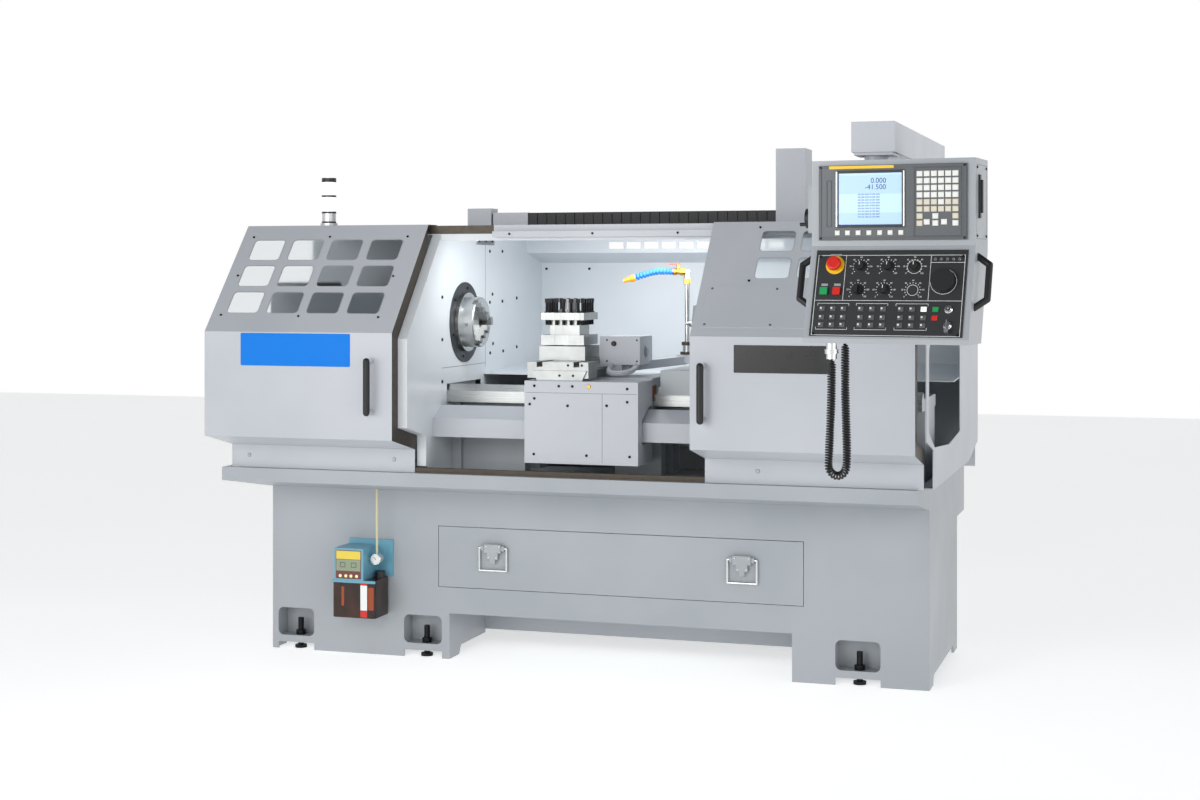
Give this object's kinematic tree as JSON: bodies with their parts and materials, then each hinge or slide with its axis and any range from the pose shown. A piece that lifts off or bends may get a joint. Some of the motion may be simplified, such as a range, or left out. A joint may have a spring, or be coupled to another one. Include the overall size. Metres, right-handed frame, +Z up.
{
  "type": "cnc turning lathe",
  "caption": "Flat-bed CNC turning lathe with sliding doors, chuck, four-way tool turret, tailstock and a swinging control pendant.",
  "frame": {"origin": "on the floor, under the middle of the machine's box", "axes": "+X along the bed from headstock to tailstock, +Y from the operator to the back, +Z up"},
  "size_m": [2.726, 2.097, 1.75],
  "materials": {
    "white_paint": "semi-gloss enamel",
    "grey_paint": "semi-gloss enamel",
    "dark_paint": "satin enamel",
    "ground_steel": "ground",
    "cast_grey": "painted casting",
    "chrome": "polished",
    "black_plastic": "moulded",
    "black_steel": "black oxide",
    "clear_sheet": "polycarbonate",
    "belt_rubber": "ribbed",
    "blue_plastic": "moulded",
    "amber_plastic": "translucent tank",
    "red_plastic": "moulded",
    "green_plastic": "moulded",
    "aluminium": "anodised"
  },
  "bodies": {
    "frame": {"base_cabinet": "grey_paint", "levelling_bolts": "black_steel", "chip_pan": "grey_paint", "door_rails": "ground_steel", "header_beam": "white_paint", "bed": "cast_grey", "bed_front_cover": "white_paint", "headstock": "cast_grey", "belt_cover": "grey_paint", "headstock_guard": "white_paint", "rear_guard": "white_paint", "right_end_panel": "grey_paint", "electrical_cabinet": "grey_paint", "spindle_motor": "dark_paint", "drive_belt": "belt_rubber", "stack_light": "aluminium", "cable_chain": "black_plastic", "service_tower": "white_paint", "arm_post": "dark_paint", "lubricator_pump": "blue_plastic", "lubricator_tank": "amber_plastic"},
    "spindle_unit": {"spindle": "ground_steel", "chuck_body": "chrome"},
    "jaw_a": {"jaw_1": "ground_steel"},
    "jaw_b": {"jaw_2": "ground_steel"},
    "jaw_c": {"jaw_3": "ground_steel"},
    "motor_pulley_unit": {"motor_pulley": "ground_steel"},
    "feed_screw": {"ball_screw": "ground_steel"},
    "carriage": {"saddle": "cast_grey", "apron": "white_paint"},
    "cross_slide_unit": {"cross_slide": "ground_steel", "turret_drive": "white_paint"},
    "turret": {"turret_head": "ground_steel", "turret_screws": "black_steel"},
    "coolant_riser": {"coolant_pipe": "chrome"},
    "tailstock_unit": {"tailstock": "cast_grey"},
    "quill": {"tailstock_quill": "ground_steel"},
    "tail_wheel": {"tailstock_handwheel": "chrome"},
    "door_left": {"left_door": "white_paint", "left_window": "clear_sheet", "left_handle": "black_plastic"},
    "door_right": {"right_door": "white_paint", "right_window": "clear_sheet", "right_handle": "black_plastic"},
    "drawer_unit": {"drawer": "grey_paint"},
    "bail_left": {"left_bail": "chrome"},
    "bail_right": {"right_bail": "chrome"},
    "arm": {"pendant_arm": "white_paint"},
    "pendant": {"pendant_housing": "white_paint", "display_unit": "dark_paint", "operator_panel": "dark_paint", "pendant_handles": "black_plastic", "cord_gland": "chrome", "curly_cord": "belt_rubber"},
    "stop_button": {"emergency_stop": "red_plastic"},
    "start_button": {"cycle_start_button": "green_plastic"},
    "hold_button": {"feed_hold_button": "red_plastic"},
    "dial": {"jog_dial": "black_plastic"},
    "selector": {"mode_selector": "black_plastic"},
    "pulse_wheel": {"handwheel": "black_plastic"}
  },
  "joints": [
    {"name": "left_door_slide", "type": "slide", "parent": "frame", "child": "door_left", "axis": [1, 0, 0], "range_m": [0, 0.494]},
    {"name": "right_door_slide", "type": "slide", "parent": "frame", "child": "door_right", "axis": [1, 0, 0], "range_m": [-0.494, 0]},
    {"name": "spindle_spin", "type": "hinge", "parent": "frame", "child": "spindle_unit", "pos_m": [-0.56098, 0.17151, 1.153], "axis": [1, 0, 0], "continuous": true},
    {"name": "jaw_a_slide", "type": "slide", "parent": "spindle_unit", "child": "jaw_a", "axis": [0, -0.5736, 0.8192], "range_m": [-0.006, 0.012]},
    {"name": "jaw_b_slide", "type": "slide", "parent": "spindle_unit", "child": "jaw_b", "axis": [0, -0.4226, -0.9063], "range_m": [-0.006, 0.012]},
    {"name": "jaw_c_slide", "type": "slide", "parent": "spindle_unit", "child": "jaw_c", "axis": [0, 0.9962, 0.0872], "range_m": [-0.006, 0.012]},
    {"name": "motor_spin", "type": "hinge", "parent": "frame", "child": "motor_pulley_unit", "pos_m": [-1.17098, 0.61751, 0.78], "axis": [1, 0, 0], "continuous": true},
    {"name": "screw_spin", "type": "hinge", "parent": "frame", "child": "feed_screw", "pos_m": [-0.56098, -0.07949, 0.812], "axis": [1, 0, 0], "range_deg": [-9000, 1000]},
    {"name": "carriage_slide", "type": "slide", "parent": "frame", "child": "carriage", "axis": [1, 0, 0], "range_m": [-0.2, 0.02]},
    {"name": "cross_slide_feed", "type": "slide", "parent": "carriage", "child": "cross_slide_unit", "axis": [0, 1, 0], "range_m": [-0.02, 0.2]},
    {"name": "turret_index", "type": "hinge", "parent": "cross_slide_unit", "child": "turret", "pos_m": [-0.13798, 0.06251, 1.08], "axis": [0, 0, 1], "continuous": true},
    {"name": "coolant_swing", "type": "hinge", "parent": "cross_slide_unit", "child": "coolant_riser", "pos_m": [0.19402, 0.34751, 1.042], "axis": [0, 0, 1], "range_deg": [-40, 40]},
    {"name": "tailstock_slide", "type": "slide", "parent": "frame", "child": "tailstock_unit", "axis": [1, 0, 0], "range_m": [-0.02, 0.3]},
    {"name": "quill_feed", "type": "slide", "parent": "tailstock_unit", "child": "quill", "axis": [1, 0, 0], "range_m": [-0.1, 0.02]},
    {"name": "tail_wheel_turn", "type": "hinge", "parent": "tailstock_unit", "child": "tail_wheel", "pos_m": [0.55702, 0.17151, 1.153], "axis": [1, 0, 0], "range_deg": [-3000, 8000]},
    {"name": "drawer_slide", "type": "slide", "parent": "frame", "child": "drawer_unit", "axis": [0, 1, 0], "range_m": [-0.38, 0]},
    {"name": "left_bail_swing", "type": "hinge", "parent": "drawer_unit", "child": "bail_left", "pos_m": [-0.40898, 0.04951, 0.388], "axis": [1, 0, 0], "range_deg": [-90, 0]},
    {"name": "right_bail_swing", "type": "hinge", "parent": "drawer_unit", "child": "bail_right", "pos_m": [0.45802, 0.04951, 0.388], "axis": [1, 0, 0], "range_deg": [-90, 0]},
    {"name": "arm_swing", "type": "hinge", "parent": "frame", "child": "arm", "pos_m": [1.04402, 0.07251, 1.646], "axis": [0, 0, 1], "range_deg": [-30, 75]},
    {"name": "pendant_swivel", "type": "hinge", "parent": "arm", "child": "pendant", "pos_m": [1.04402, -0.85749, 1.624], "axis": [0, 0, 1], "range_deg": [-30, 30]},
    {"name": "emergency_stop_press", "type": "slide", "parent": "pendant", "child": "stop_button", "axis": [0.0922, 0.9402, -0.3278], "range_m": [0, 0.004], "stiffness_N_per_m": 1500},
    {"name": "cycle_start_press", "type": "slide", "parent": "pendant", "child": "start_button", "axis": [0.0922, 0.9402, -0.3278], "range_m": [0, 0.0025], "stiffness_N_per_m": 800},
    {"name": "feed_hold_press", "type": "slide", "parent": "pendant", "child": "hold_button", "axis": [0.0922, 0.9402, -0.3278], "range_m": [0, 0.0025], "stiffness_N_per_m": 800},
    {"name": "jog_dial_turn", "type": "hinge", "parent": "pendant", "child": "dial", "pos_m": [1.24108, -0.98956, 1.29927], "axis": [0.0922, 0.9402, -0.3278], "range_deg": [-135, 135]},
    {"name": "mode_selector_turn", "type": "hinge", "parent": "pendant", "child": "selector", "pos_m": [1.0134, -0.97514, 1.2766], "axis": [0.0922, 0.9402, -0.3278], "range_deg": [-75, 75]},
    {"name": "handwheel_turn", "type": "hinge", "parent": "pendant", "child": "pulse_wheel", "pos_m": [0.86219, -0.83664, 1.472], "axis": [-0.9952, 0.0976, 0], "continuous": true}
  ],
  "couplings": [
    {"joint": "motor_spin", "follows": "spindle_spin", "ratio": 1.8333},
    {"joint": "jaw_b_slide", "follows": "jaw_a_slide", "ratio": 1},
    {"joint": "jaw_c_slide", "follows": "jaw_a_slide", "ratio": 1},
    {"joint": "screw_spin", "follows": "carriage_slide", "rad_per_m": 628.32},
    {"joint": "tail_wheel_turn", "follows": "quill_feed", "rad_per_m": -1256.6}
  ]
}
